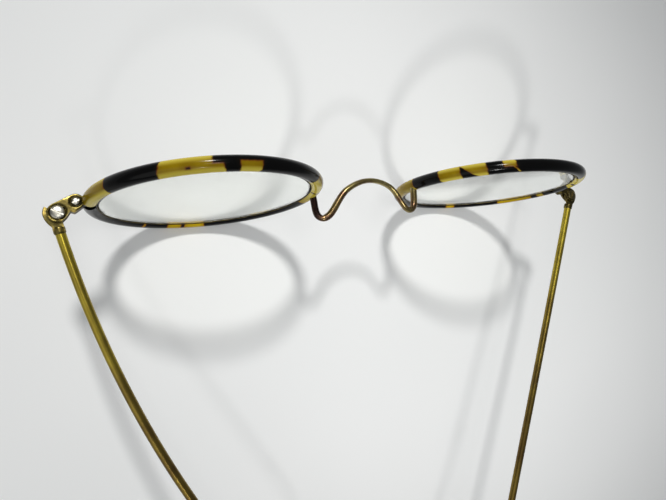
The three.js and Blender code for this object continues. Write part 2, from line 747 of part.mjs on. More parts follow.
for (const side of SIDES) {
  side.place = standingPlace(side);
  side.drop = standingDrop(side);
  const { name, sign, fold } = side;

  const eye = new THREE.Group();
  eye.applyMatrix4(side.place);
  eye.add(piece(`${name}_lens`, sided(lensGeometry(), sign), glass));
  eye.add(piece(`${name}_eyewire`, sided(eyewireGeometry(), sign), wornBrass));
  eye.add(piece(`${name}_rim_cover`, sided(coverGeometry(side.lean), sign), tortoise));
  standing.add(eye);

  const corner = new THREE.Group();
  corner.position.z = END_PIECE_RAISE;
  eye.add(corner);

  const block = endPieceBlock(side);
  corner.add(piece(`${name}_upper_end_piece`, sided(endPieceHalf(block, 1), sign), brass));
  corner.add(piece(`${name}_lower_end_piece`, sided(endPieceHalf(block, -1), sign), brass));

  const hingeScrew = screwGeometry(HINGE_SHANK_RADIUS, HINGE_HEAD_RADIUS, HINGE_HEAD_HEIGHT);
  const hingePiece = piece(`${name}_hinge_screw`, closed(hingeScrew), steel);
  hingePiece.position.set(sign * hinge.x, hinge.y, 0);
  corner.add(hingePiece);

  const closingScrew = screwGeometry(CLOSING_SHANK_RADIUS, CLOSING_HEAD_RADIUS, CLOSING_HEAD_HEIGHT);
  const closingPiece = piece(`${name}_closing_screw`, closed(closingScrew), steel);
  closingPiece.position.set(sign * closing.x, closing.y, 0);
  corner.add(closingPiece);

  const temple = new THREE.Group();
  temple.position.set(sign * hinge.x, hinge.y, 0);
  temple.rotation.z = -sign * fold;
  temple.add(piece(`${name}_temple_butt`, sided(buttGeometry(side), sign), brass));
  temple.add(piece(`${name}_temple_shaft`, sided(shaftGeometry(side), sign), brass));
  temple.add(piece(`${name}_ear_ferrule`, sided(ferruleGeometry(side), sign), brass));
  temple.add(piece(`${name}_ear_core`, sided(coreGeometry(side), sign), steel));
  temple.add(piece(`${name}_ear_cable`, sided(cableGeometry(side), sign), wornBrass));
  temple.add(piece(`${name}_ear_tip`, sided(tipGeometry(side), sign), brass));
  corner.add(temple);
}

standing.add(piece('bridge', closed(bridgeGeometry()), wornBrass));

// The glasses stand on z = 0, with the middle of their width and depth on the z axis.
const bounds = new THREE.Box3().setFromObject(glasses, true);
const middle = bounds.getCenter(new THREE.Vector3());
standing.position.set(-middle.x, -middle.y, -bounds.min.z);

export default glasses;
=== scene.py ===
import bpy
import numpy as np
from mathutils import Matrix


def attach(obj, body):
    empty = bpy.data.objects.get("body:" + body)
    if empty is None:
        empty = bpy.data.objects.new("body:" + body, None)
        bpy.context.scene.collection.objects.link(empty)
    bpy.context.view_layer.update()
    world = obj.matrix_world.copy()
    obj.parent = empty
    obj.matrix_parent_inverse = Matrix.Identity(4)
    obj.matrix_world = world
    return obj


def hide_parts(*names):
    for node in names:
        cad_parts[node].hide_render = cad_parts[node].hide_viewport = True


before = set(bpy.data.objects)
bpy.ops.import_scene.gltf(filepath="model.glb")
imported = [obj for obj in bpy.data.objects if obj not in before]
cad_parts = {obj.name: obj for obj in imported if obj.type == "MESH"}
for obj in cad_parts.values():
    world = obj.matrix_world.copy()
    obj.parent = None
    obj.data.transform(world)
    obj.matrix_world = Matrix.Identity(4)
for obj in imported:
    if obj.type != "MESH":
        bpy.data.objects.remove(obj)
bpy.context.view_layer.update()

# Lenses: two round lenses of clear glass, a little thicker in the middle, ground to a pointed
# edge that sits in the groove of the eyewire. Each stands on edge, leaning forward.

MM = 0.001
SAME_POINT_DECIMALS = 4
LENS_CENTRES_APART = 65.5
EYES = {
    "left": {
        "sign": -1,
        "centre": (-32.7003564, 51.2032057, 20.8625664),
        "lean": 16.26,
        "wrap": 0.55,
    },
    "right": {
        "sign": 1,
        "centre": (32.7996436, 51.2032057, 21.1765980),
        "lean": 12.74,
        "wrap": 3.1,
    },
}
LENS_RADIUS = 20.2
LENS_FACE_RADIUS = 19.1
LENS_EDGE = 1.4
LENS_CURVE = 2500.0
LENS_RINGS = 24
LENS_COLUMNS = 160
LENS_TINT = (0.93, 0.95, 0.92, 1)
LENS_BRIGHTENED_PASSAGE = (1.07, 1.07, 1.06, 1)
LENS_INDEX = 1.52


def turned_about_z(points, angle):
    """Points turned about the z axis: x and y mixed by the cosine and sine of the angle."""
    c, s = np.cos(angle), np.sin(angle)
    return points @ np.array([[c, s, 0], [-s, c, 0], [0, 0, 1]])


def on_eye(side, points):
    """Points drawn round a lens centre, x outward, put in their place: mirrored for the left
    eye, leaned about x, turned about z, then moved to the lens centre."""
    eye = EYES[side]
    lean = np.radians(eye["lean"])
    c, s = np.cos(lean), np.sin(lean)
    leaned = (points * (eye["sign"], 1, 1)) @ np.array([[1, 0, 0], [0, c, -s], [0, s, c]])
    return turned_about_z(leaned, -eye["sign"] * np.radians(eye["wrap"])) + eye["centre"]


def grid_faces(grid):
    """Four-cornered faces between neighbours on a grid whose rows are closed loops, turned so
    that the volume they enclose is positive."""
    rows, columns = grid.shape[:2]
    row, column = np.meshgrid(np.arange(rows - 1), np.arange(columns), indexing="ij")
    here = row * columns + column
    beside = row * columns + (column + 1) % columns
    faces = np.stack([here, beside, beside + columns, here + columns], -1).reshape(-1, 4)
    a, b, c, d = np.moveaxis(grid.reshape(-1, 3)[faces], 1, 0)
    volume = np.sum(a * np.cross(b, c)) + np.sum(a * np.cross(c, d))
    return faces if volume > 0 else faces[:, ::-1]


def made(node, body, finish, shells, crease=35, **marks):
    """One piece from closed grids of points in millimetres. Points that coincide become one, so
    a row drawn to a point closes an end. Edges sharper than the crease, in degrees, stay sharp.
    Marks are values kept at each point."""
    points = np.concatenate([shell.reshape(-1, 3) for shell in shells])
    starts = np.cumsum([0] + [shell.shape[0] * shell.shape[1] for shell in shells[:-1]])
    faces = np.concatenate([grid_faces(shell) + start for shell, start in zip(shells, starts)])
    near = points.round(SAME_POINT_DECIMALS)
    _, first, joined = np.unique(near, axis=0, return_index=True, return_inverse=True)
    faces = joined.reshape(-1)[faces]
    same = faces == np.roll(faces, -1, axis=1)
    folded = (faces[:, 0] == faces[:, 2]) | (faces[:, 1] == faces[:, 3])
    squares = faces[~same.any(1) & ~folded]
    wedges = (same.sum(1) == 1) & ~folded
    triangles = faces[wedges][~same[wedges]].reshape(-1, 3)
    mesh = bpy.data.meshes.new(node + "_visual")
    mesh.from_pydata((points[first] * MM).tolist(), [], squares.tolist() + triangles.tolist())
    for name, values in marks.items():
        layer = mesh.attributes.new(name, "FLOAT", "POINT")
        layer.data.foreach_set("value", np.ravel(values)[first].astype(np.float32))
    mesh.shade_smooth()
    mesh.set_sharp_from_angle(angle=np.radians(crease))
    mesh.materials.append(finish)
    piece = bpy.data.objects.new(node + "_visual", mesh)
    bpy.context.scene.collection.objects.link(piece)
    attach(piece, body)
    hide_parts(node)
    return piece


def turned(profile, columns):
    """A profile of radius and height turned about the y axis: one row for each profile point."""
    angle = np.linspace(0, 2 * np.pi, columns, endpoint=False)
    radius, height = np.asarray(profile, float).T[:, :, None]
    return np.stack([radius * np.cos(angle), height + 0 * angle, radius * np.sin(angle)], -1)


def new_finish(name):
    """An empty material with its shader and output, and a short way to add and join nodes."""
    material = bpy.data.materials.new(name)
    material.use_nodes = True
    tree = material.node_tree
    shader = tree.nodes["Principled BSDF"]

    def add(kind, inputs=(), **settings):
        """A new node with its settings, and each input joined to a socket or given a value."""
        node = tree.nodes.new(kind)
        for key, value in settings.items():
            setattr(node, key, value)
        for socket, value in dict(inputs).items():
            if isinstance(value, bpy.types.NodeSocket):
                tree.links.new(value, node.inputs[socket])
            else:
                node.inputs[socket].default_value = value
        return node

    def join(source, target):
        """A link from one node's socket to another's."""
        tree.links.new(source, target)

    return material, shader, add, join


lens_glass, shader, add, join = new_finish("lens_glass")
shader.inputs["Base Color"].default_value = LENS_TINT
shader.inputs["Roughness"].default_value = 0.0
shader.inputs["IOR"].default_value = LENS_INDEX
shader.inputs["Transmission Weight"].default_value = 1.0
# Rays pass the lens made brighter: a painted pool of light in its shadow, for its focusing.
lamp_way = add("ShaderNodeBsdfTransparent", {"Color": LENS_BRIGHTENED_PASSAGE})
rays = add("ShaderNodeLightPath")
shadow, diffuse = rays.outputs["Is Shadow Ray"], rays.outputs["Is Diffuse Ray"]
straight = add("ShaderNodeMath", {0: shadow, 1: diffuse}, operation="MAXIMUM")
either = add("ShaderNodeMixShader", {"Fac": straight.outputs[0]})
join(shader.outputs["BSDF"], either.inputs[1])
join(lamp_way.outputs["BSDF"], either.inputs[2])
join(either.outputs["Shader"], lens_glass.node_tree.nodes["Material Output"].inputs["Surface"])

reach = np.linspace(0, LENS_FACE_RADIUS, LENS_RINGS)
sag = LENS_CURVE - np.sqrt(LENS_CURVE**2 - reach**2)
lens_face = np.stack([reach, LENS_EDGE / 2 + sag[-1] - sag], -1)
lens_profile = np.concatenate([lens_face, [(LENS_RADIUS, 0)], lens_face[::-1] * (1, -1)])
for side in EYES:
    lens_shape = on_eye(side, turned(lens_profile, LENS_COLUMNS))
    lens = made(f"{side}_lens", "front", lens_glass, [lens_shape], crease=20)

# Eyewires: a grooved brass wire bent round each lens and split at the temple side, where the
# end pieces draw it shut. Only its two lips show between the lens and the rim cover.

EYEWIRE_INNER = 19.35
EYEWIRE_OUTER = 21.0
EYEWIRE_HALF_DEPTH = 0.75
EYEWIRE_LIP = 0.15
EYEWIRE_CHAMFER = 0.08
EYEWIRE_ROUNDING = ((0.09, 0.0), (0.03, 0.03), (0.0, 0.08))
GROOVE_BOTTOM = 20.3
EYEWIRE_SPLIT = (1.35, 1.65)
EYEWIRE_STEPS = 240
TARNISHED_TONES = ((0.36, (0.022, 0.018, 0.010)), (0.74, (0.16, 0.12, 0.04)))


def rim_sweep(loop, low, high, steps, closing):
    """A closed loop of (radius, depth) carried round the lens, from the height high above the
    temple side's middle round to the height low; closing rows draw each end to closing points.
    Returns the points and the angle of each."""
    share = np.concatenate([[0], np.linspace(0, 1, steps), [1]])[:, None]
    sections = np.concatenate([closing[None], np.tile(loop, (steps, 1, 1)), closing[None]])
    radius, depth = np.moveaxis(sections, -1, 0)
    start = np.arcsin(high / radius)
    stop = 2 * np.pi + np.arcsin(low / radius)
    angle = start + (stop - start) * share
    points = np.stack([radius * np.cos(angle), depth, radius * np.sin(angle)], -1)
    return points, angle


def flecks(add, scale, detail, **more):
    """Noise in the piece's own coordinates, which keeps its place on the piece."""
    place = add("ShaderNodeTexCoord").outputs["Object"]
    inputs = {"Vector": place, "Scale": scale, "Detail": detail, **more}
    return add("ShaderNodeTexNoise", inputs).outputs["Fac"]


def toned(add, value, tones):
    """A value turned into colour: each tone has its place and its red, green and blue, and
    between two places the colours are mixed in proportion."""
    ramp = add("ShaderNodeValToRGB", {"Fac": value})
    stops = ramp.color_ramp.elements
    for stop, (position, colour) in zip(stops, (tones[0], tones[-1])):
        stop.position = position
        stop.color = (*colour, 1)
    for position, colour in tones[1:-1]:
        stops.new(position).color = (*colour, 1)
    return ramp


tarnished_brass, shader, add, join = new_finish("tarnished_brass")
tone = toned(add, flecks(add, scale=420.0, detail=5.0), TARNISHED_TONES)
join(tone.outputs["Color"], shader.inputs["Base Color"])
shader.inputs["Metallic"].default_value = 0.8
shader.inputs["Roughness"].default_value = 0.42

side_height = EYEWIRE_HALF_DEPTH - EYEWIRE_CHAMFER
lip = np.array([
    (EYEWIRE_OUTER - EYEWIRE_CHAMFER, EYEWIRE_HALF_DEPTH),
    *((EYEWIRE_INNER + out, EYEWIRE_HALF_DEPTH - down) for out, down in EYEWIRE_ROUNDING),
    (EYEWIRE_INNER, EYEWIRE_HALF_DEPTH - EYEWIRE_LIP),
])
eyewire_loop = np.concatenate([
    lip,
    [(GROOVE_BOTTOM, 0)],
    lip[::-1] * (1, -1),
    [(EYEWIRE_OUTER, -side_height), (EYEWIRE_OUTER, side_height)],
])
eyewire_ends = np.tile(((GROOVE_BOTTOM + EYEWIRE_OUTER) / 2, 0.0), (len(eyewire_loop), 1))
eyewire_points, _ = rim_sweep(eyewire_loop, *EYEWIRE_SPLIT, EYEWIRE_STEPS, eyewire_ends)
for side in EYES:
    eyewire = made(f"{side}_eyewire", "front", tarnished_brass, [on_eye(side, eyewire_points)])

# Rim covers: a thin tube of celluloid slipped over each eyewire, slit along its inside. It is
# patterned like tortoiseshell, with black-brown and clear amber patches, and polished. The
# right one is notched round the neck of its end piece, the left one stops short of it.

COVER_RADIUS = 1.3
COVER_CENTRE = 20.47
COVER_CHANNEL = 0.8
COVER_BED = 21.05
COVER_STEPS = 721
COVER_LOOP_POINTS = 44

# The heights where a cover ends below and above its end piece, in the middle of the tube and at
# its cheeks, and the depths between which the one passes into the other.
COVER_GAP = {"left": ((0.4, 0.4), (2.6, 2.6)), "right": ((0.4, 1.4), (2.6, 1.6))}
COVER_CHEEKS = (0.93, 1.12)

# A patch has its start and that edge's slant, its stop and that edge's slant, in degrees round
# the rim, and its low and high side, in degrees of turn round the tube. A slant is how far an
# edge shifts in the turn that SLANT_TURN names.
ALL_ROUND = (-200, 200)
AMBER_PATCHES = {
    "left": [
        (4, 0, 33, 0.4, *ALL_ROUND),
        (60.2, 0.9, 82, 0, *ALL_ROUND),
        (60.2, 0.9, 86, -0.9, -200, -10),
        (93, 0, 103, 0.3, -200, 4),
        (143.5, 0.5, 186, -2, *ALL_ROUND),
        (264, 0, 287.5, 0, *ALL_ROUND),
        (303, 0.3, 304.6, 0.3, -200, -90),
        (215, 1, 236, -1, 60, 200),
        (322, -1, 338, 1, 40, 170),
    ],
    "right": [
        (16, -3, 56, 3, *ALL_ROUND),
        (114.2, 0.4, 121, 0.6, -14, 75),
        (115.9, 4, 117.1, 4, -75, -4),
        (129.5, 0.6, 156.2, 0.6, *ALL_ROUND),
        (175.5, 0.5, 203, 1, *ALL_ROUND),
        (278, 0, 286, 0.4, *ALL_ROUND),
        (320, 0.4, 345, -0.4, *ALL_ROUND),
        (350.5, 0, 357, 0.4, *ALL_ROUND),
        (80, 2, 98, -1, 85, 200),
    ],
}
DARK_PATCHES = {
    "left": [
        (71.2, 0, 72.7, 0, -38, -26),
        (276.6, 0, 278.6, 0, -180, -100),
        (98, 2, 105, 0, 4, 30),
        (169.6, 1, 171, 1, -140, -20),
    ],
    "right": [
        (140.4, 4.4, 143.5, 0.5, -130, 48),
        (26.5, -1, 30, -1, -125, -60),
        (330, 2, 336, 2, 20, 110),
    ],
}
SLANT_TURN = 60
TURN_DEGREES = 0.061
FEATHER_WIDTH = 0.6
AMBER_RANGE = (-2.0, 3.0)
WAVERS = ((0.14, 4, 40), (0.1, 9, -90))
SHELL_TONES = (
    (0.0, (0.002, 0.002, 0.002)),
    (0.30, (0.004, 0.003, 0.002)),
    (0.38, (0.030, 0.008, 0.003)),
    (0.44, (0.14, 0.055, 0.004)),
    (0.54, (0.18, 0.112, 0.002)),
    (1.0, (0.22, 0.148, 0.002)),
)
CLOUD_TINT = (0.72, 0.60, 0.30, 1)
# Painted glow: the amber is made paler and bluer towards the rim's underside, as if lit through
# from behind.
UNDERSIDE_GLOW_TINT = (2.6, 2.6, 3.0, 1)
# Painted glow: inside the amber the colour turns paler yellow off the tube's middle band, fading
# out low on the rim.
EDGE_GLOW_COLOUR = (0.60, 0.48, 0.06, 1)
UNDERSIDE_GLOW_RATE = 1.3
EDGE_GLOW_BY_TURN = ((-60, -34, 6, 42), (0.95, 0, 0, 0.85))
EDGE_GLOW_BY_DEPTH = 2
EDGE_GLOW_BY_HEIGHT = (3, 0.6)


def inside_patch(angle, turn, patch):
    """How far a point lies inside a four-sided patch, in degrees round the rim: the least of its
    ways to the slanting start and stop and, on the rim's scale, to the low and high side."""
    start, start_slant, stop, stop_slant, low, high = patch
    return np.minimum.reduce([
        angle - start - start_slant * turn / SLANT_TURN,
        stop + stop_slant * turn / SLANT_TURN - angle,
        TURN_DEGREES * (turn - low),
        TURN_DEGREES * (high - turn),
    ])


def amber_depth(side, angle, turn):
    """How far a point of the cover lies inside the amber, less than nought where it is dark:
    inside any amber patch and outside each dark one, with edges that waver as two sines."""
    around = angle
    for size, by_turn, by_angle in WAVERS:
        around = around + size * np.sin(np.radians(by_turn * turn + by_angle * angle))
    amber, dark = (
        np.maximum.reduce([inside_patch(around, turn, patch) for patch in patches[side]])
        for patches in (AMBER_PATCHES, DARK_PATCHES)
    )
    return np.minimum(amber, -dark)


def spread(add, value, old=(0, 1), new=(0, 1)):
    """A value carried over in proportion from its old range to a new one, and kept inside it."""
    limits = dict(zip(("From Min", "From Max", "To Min", "To Max"), (*old, *new)))
    return add("ShaderNodeMapRange", {"Value": value, **limits}).outputs["Result"]


def tinted(add, factor, colour, tint, blend_type):
    """A colour mixed with a tint, or multiplied by it, as far as the factor says."""
    inputs = {"Factor": factor, "A": colour, "B": tint}
    mix = add("ShaderNodeMix", inputs, data_type="RGBA", blend_type=blend_type)
    return mix.outputs["Result"]


tortoise, shader, add, join = new_finish("tortoise_celluloid")
amber, underside_glow, edge_glow = (
    add("ShaderNodeAttribute", attribute_name=mark).outputs["Fac"]
    for mark in ("amber_depth", "underside_glow", "edge_glow")
)
feather = flecks(add, scale=1500.0, detail=4.0)
frayed = {0: feather, 1: FEATHER_WIDTH, 2: -FEATHER_WIDTH / 2}
ragged = add("ShaderNodeMath", frayed, operation="MULTIPLY_ADD")
edge = add("ShaderNodeMath", {0: amber, 1: ragged.outputs[0]}, operation="ADD")
shell_tone = toned(add, spread(add, edge.outputs[0], old=AMBER_RANGE), SHELL_TONES)
clouds = flecks(add, scale=420.0, detail=3.0)
cloudy = spread(add, clouds, old=(0.35, 0.7), new=(0, 0.5))
shaded = tinted(add, cloudy, shell_tone.outputs["Color"], CLOUD_TINT, "MULTIPLY")
glowing_under = tinted(add, underside_glow, shaded, UNDERSIDE_GLOW_TINT, "MULTIPLY")
edge_glowing = tinted(add, edge_glow, glowing_under, EDGE_GLOW_COLOUR, "MIX")
join(edge_glowing, shader.inputs["Base Color"])
shader.inputs["Roughness"].default_value = 0.16
shader.inputs["IOR"].default_value = 1.5
shader.inputs["Specular IOR Level"].default_value = 0.12
ripple = flecks(add, scale=300.0, detail=2.0)
waves = add("ShaderNodeBump", {"Height": ripple, "Strength": 0.08, "Distance": 0.0003})
join(waves.outputs["Normal"], shader.inputs["Normal"])

lip_turn = np.pi - np.arcsin(COVER_CHANNEL / COVER_RADIUS)
turn = np.linspace(-lip_turn, lip_turn, COVER_LOOP_POINTS)
outside = COVER_RADIUS * np.stack([np.cos(turn), np.sin(turn)], -1) + (COVER_CENTRE, 0)
bed = [(COVER_BED, -COVER_CHANNEL), (COVER_BED, COVER_CHANNEL)]
channel_corners = np.concatenate([outside[:1], bed, outside[-1:]])
corner_steps = np.linalg.norm(np.diff(channel_corners, axis=0), axis=1)
corner_at = np.concatenate([[0], np.cumsum(corner_steps)])
walk = np.linspace(0, corner_at[-1], COVER_LOOP_POINTS)
inside_wall = np.stack([np.interp(walk, corner_at, axis) for axis in channel_corners.T], -1)
cover_loop = np.concatenate([outside, inside_wall[::-1]])
cover_middle = (outside + inside_wall) / 2
cover_ends = np.concatenate([cover_middle, cover_middle[::-1]])
cheek = np.abs(np.concatenate([outside, outside[::-1]])[:, 1])
steepness, level = EDGE_GLOW_BY_HEIGHT
for side in EYES:
    low, high = (np.interp(cheek, COVER_CHEEKS, heights) for heights in COVER_GAP[side])
    cover_points, cover_angle = rim_sweep(cover_loop, low, high, COVER_STEPS, cover_ends)
    cover_turn = np.degrees(np.concatenate([turn, turn[::-1]])) + 0 * cover_angle
    placed = on_eye(side, cover_points)
    placed[..., 2] = np.maximum(placed[..., 2], 0)
    depth = amber_depth(side, np.degrees(cover_angle), cover_turn)
    rise = np.sin(cover_angle)
    # Painted glow, growing towards the rim's underside.
    underside_lit = np.clip(-UNDERSIDE_GLOW_RATE * rise, 0, 1)
    # Painted glow in the amber, off the tube's middle band and fading out low on the rim.
    clear = np.interp(cover_turn, *EDGE_GLOW_BY_TURN) * np.clip(EDGE_GLOW_BY_DEPTH * depth, 0, 1)
    clear = clear * np.clip(steepness * rise + level, 0, 1)
    marks = {"amber_depth": depth, "underside_glow": underside_lit, "edge_glow": clear}
    cover = made(f"{side}_rim_cover", "front", tortoise, [placed], crease=40, **marks)

# Bridge: one length of oval brass wire, soldered to the backs of the eyewires, run back to a
# foot on each side and bent up and over in a high saddle for the nose.

BRIDGE_HEIGHT = 1.5
BRIDGE_PLACES = (0.12, 0.2, 0.3, 0.42, 0.5, 0.58, 0.66, 0.73, 0.82, 0.9)
BRIDGE_THICKNESS = (1.5, 1.3, 1.15, 0.97, 1.0, 1.25, 1.5, 1.48, 1.22, 1.4)
BRIDGE_PATINA = ((0.0, 0.2, 0.6, 0.78, 0.86, 0.92, 1.0), (0.25, 0.0, 0.15, 0.5, 1.2, 1.6, 1.8))
BRIDGE_UPRIGHT = (0, 0.25, 0.97)
BRIDGE_STEPS = 24
BRIDGE_COLUMNS = 28
SOLDER_RADIUS = 20.77
SOLDER_BACK = 0.81
SOLDER_HEIGHT = 0.58
FOOT_BACK = 5.7
FOOT_INSET = 1.0
BEND_INSET = 0.4
BEND_DEPTH = 0.85
CREST_HEIGHT = 2.47
CREST_FORWARD = 0.76
LEG_SHARES = np.array([(0.97, 0, 0.08), (0.845, 0.05, 0.3), (0.46, 0.765, 0.815)])
WORN_TONES = (
    (0.12, (0.035, 0.018, 0.014)),
    (0.32, (0.12, 0.065, 0.035)),
    (0.5, (0.25, 0.195, 0.07)),
    (0.68, (0.34, 0.28, 0.115)),
)


def between_eyes(points):
    """Points drawn from the middle of the front, set between the two rims: each is placed with
    the left eye and with the right one, and the two are mixed by its place across the gap."""
    half = LENS_CENTRES_APART / 2
    share = np.clip(0.5 + points[:, :1] / (2 * (half - SOLDER_RADIUS)), 0, 1)
    by_left = on_eye("left", (points + (half, 0, 0)) * (-1, 1, 1))
    by_right = on_eye("right", points - (half, 0, 0))
    return by_left * (1 - share) + by_right * share


def smooth_line(knots, steps):
    """A centripetal Catmull-Rom line: between two knots it is a cubic whose end slopes come from
    the knots on either side, with steps spaced by the square root of the knots' distances."""
    ends = np.concatenate([[2 * knots[0] - knots[1]], knots, [2 * knots[-1] - knots[-2]]])
    gap = np.sqrt(np.linalg.norm(np.diff(ends, axis=0), axis=1))[:, None]
    before, here, after, beyond = ends[:-3], ends[1:-2], ends[2:-1], ends[3:]
    g0, g1, g2 = gap[:-2], gap[1:-1], gap[2:]
    leave = ((here - before) / g0 - (after - before) / (g0 + g1) + (after - here) / g1) * g1
    arrive = ((after - here) / g1 - (beyond - here) / (g1 + g2) + (beyond - after) / g2) * g1
    t = np.linspace(0, 1, steps, endpoint=False)[:, None, None]
    line = (
        (2 * t**3 - 3 * t**2 + 1) * here + (t**3 - 2 * t**2 + t) * leave
        + (3 * t**2 - 2 * t**3) * after + (t**3 - t**2) * arrive
    )
    return np.concatenate([np.moveaxis(line, 0, 1).reshape(-1, 3), knots[-1:]])


def wire(line, upright, half_width, half_height, columns):
    """An oval section carried along a line, its tall way kept as near to upright as the line
    allows; both ends are drawn to a point."""
    heading = np.gradient(line, axis=0)
    heading /= np.linalg.norm(heading, axis=1)[:, None]
    across = np.cross(heading, upright)
    across /= np.linalg.norm(across, axis=1)[:, None]
    up = np.cross(across, heading)
    angle = np.linspace(0, 2 * np.pi, columns, endpoint=False)[:, None]
    width = np.broadcast_to(half_width, len(line))[:, None, None]
    height = np.broadcast_to(half_height, len(line))[:, None, None]
    sideways = width * np.cos(angle) * across[:, None]
    skin = line[:, None] + sideways + height * np.sin(angle) * up[:, None]
    ends = np.repeat(line[[0, -1]][:, None], columns, axis=1)
    return np.concatenate([ends[:1], skin, ends[1:]])


def shifted(add, mark, share, value):
    """A value moved by a share of the mark kept at each point: the mark times it, added on."""
    kept = add("ShaderNodeAttribute", attribute_name=mark).outputs["Fac"]
    moved = add("ShaderNodeMath", {0: kept, 1: share, 2: value}, operation="MULTIPLY_ADD")
    return moved.outputs[0]


def grained(shader, add, join, scale, dullness, strength, deep):
    """Fine grain on a metal: one noise varies its roughness between two values and dents it."""
    grain = flecks(add, scale, detail=4.0)
    join(spread(add, grain, new=dullness), shader.inputs["Roughness"])
    dents = add("ShaderNodeBump", {"Height": grain, "Strength": strength, "Distance": deep})
    join(dents.outputs["Normal"], shader.inputs["Normal"])


worn_brass, shader, add, join = new_finish("worn_brass")
wear_flecks = flecks(add, scale=260.0, detail=5.0)
tone = toned(add, shifted(add, "patina", share=-0.3, value=wear_flecks), WORN_TONES)
join(tone.outputs["Color"], shader.inputs["Base Color"])
shader.inputs["Metallic"].default_value = 0.9
grained(shader, add, join, scale=2400.0, dullness=(0.16, 0.34), strength=0.12, deep=0.00008)

solder_x = LENS_CENTRES_APART / 2 - SOLDER_RADIUS
foot_x = solder_x - FOOT_INSET
saddle = np.array([foot_x, CREST_FORWARD + FOOT_BACK, CREST_HEIGHT - SOLDER_HEIGHT])
half_bridge = np.concatenate([
    [(solder_x, -SOLDER_BACK, SOLDER_HEIGHT)],
    [(solder_x - BEND_INSET, -BEND_DEPTH * FOOT_BACK, SOLDER_HEIGHT)],
    LEG_SHARES * saddle + (0, -FOOT_BACK, SOLDER_HEIGHT),
])
crest = [(0, CREST_FORWARD, CREST_HEIGHT)]
bridge_knots = np.concatenate([half_bridge, crest, half_bridge[::-1] * (-1, 1, 1)])
bridge_line = smooth_line(between_eyes(bridge_knots), BRIDGE_STEPS)
bridge_share = np.linspace(0, 1, len(bridge_line))
bridge_half = np.interp(bridge_share, BRIDGE_PLACES, BRIDGE_THICKNESS) / 2
bridge_skin = wire(bridge_line, BRIDGE_UPRIGHT, bridge_half, BRIDGE_HEIGHT / 2, BRIDGE_COLUMNS)
bridge_patina = np.interp(np.pad(bridge_share, 1, mode="edge"), *BRIDGE_PATINA)
patina = np.repeat(bridge_patina, BRIDGE_COLUMNS)
bridge = made("bridge", "front", worn_brass, [bridge_skin], patina=patina)

# End pieces: a small brass block soldered to the temple side of each eyewire and sawn in two,
# with rounded bosses for two screws. A slot between the halves takes the temple's eye.

END_PIECE_RAISE = 1.5
END_PIECE_TOP = 0.9
END_PIECE_SAW = 0.1
END_PIECE_ROUND = 0.28
END_PIECE_COLUMNS = 420
END_PIECE_BEND_RINGS = 6
END_PIECE_TOP_RINGS = np.linspace(0.95, 0, 20)
SLOT_HALF = 0.42
CLOSING = np.array([22.55, -0.1])
CLOSING_BOSS = 1.35
HINGE = np.array([25.4, -1.8])
HINGE_BOSS = 1.7
HULL_STEPS = 160
NECK_HALF = 0.85
NECK_LONGEST = 3.0
RIM_SEAT = 21.06
EYE_ROOM = 1.45
HEEL_STOP = (np.radians(47), 0.12)
NECK_ROOM = (0.47, 0.0)
COLLAR_ROOM = {"left": (0.59, 1.776), "right": (0.59, 1.837)}
CLOSED_FOLD = {"left": np.radians(72), "right": np.radians(82)}
LEAST_REACH = 0.02
BARELY = 1e-9
TIGHTEST_STEPS = 1
SOFTENED_STEPS = 4
# The last value of each dimple is how dark it is painted: painted shade in the hollow round that
# screw head.
SCREW_DIMPLES = ((HINGE, 1.22, 0.13, 0.6), (CLOSING, 0.78, 0.2, 1.0))
DIMPLE_DEPTH = 0.16
# The top is painted dark where it nears the rim's seat: painted shade in the gap by the rim.
RIM_SHADE_EDGE = 22.0
RIM_SHADE_FADE = 0.5
# How bright the rounded top edges are painted on each side: rubbed brass and painted highlight,
# weaker on the right.
EDGE_RUB_AND_SHEEN = {"left": 1.0, "right": 0.2}
EDGE_FADE = 12
GRIMY_TONES = (
    (0.26, (0.020, 0.016, 0.006)),
    (0.46, (0.07, 0.053, 0.014)),
    (0.64, (0.135, 0.108, 0.030)),
    (0.84, (0.55, 0.40, 0.10)),
)

grimy_brass_with_painted_light, shader, add, join = new_finish("grimy_brass_with_painted_light")
grime = flecks(add, scale=800.0, detail=5.0, Roughness=0.6)
# Brighter where rubbed and by painted highlight, darker by painted shade.
tone = toned(add, shifted(add, "edge_wear", share=0.2, value=grime), GRIMY_TONES)
join(tone.outputs["Color"], shader.inputs["Base Color"])
shader.inputs["Metallic"].default_value = 0.95
grained(shader, add, join, scale=2600.0, dullness=(0.2, 0.42), strength=0.12, deep=0.00006)


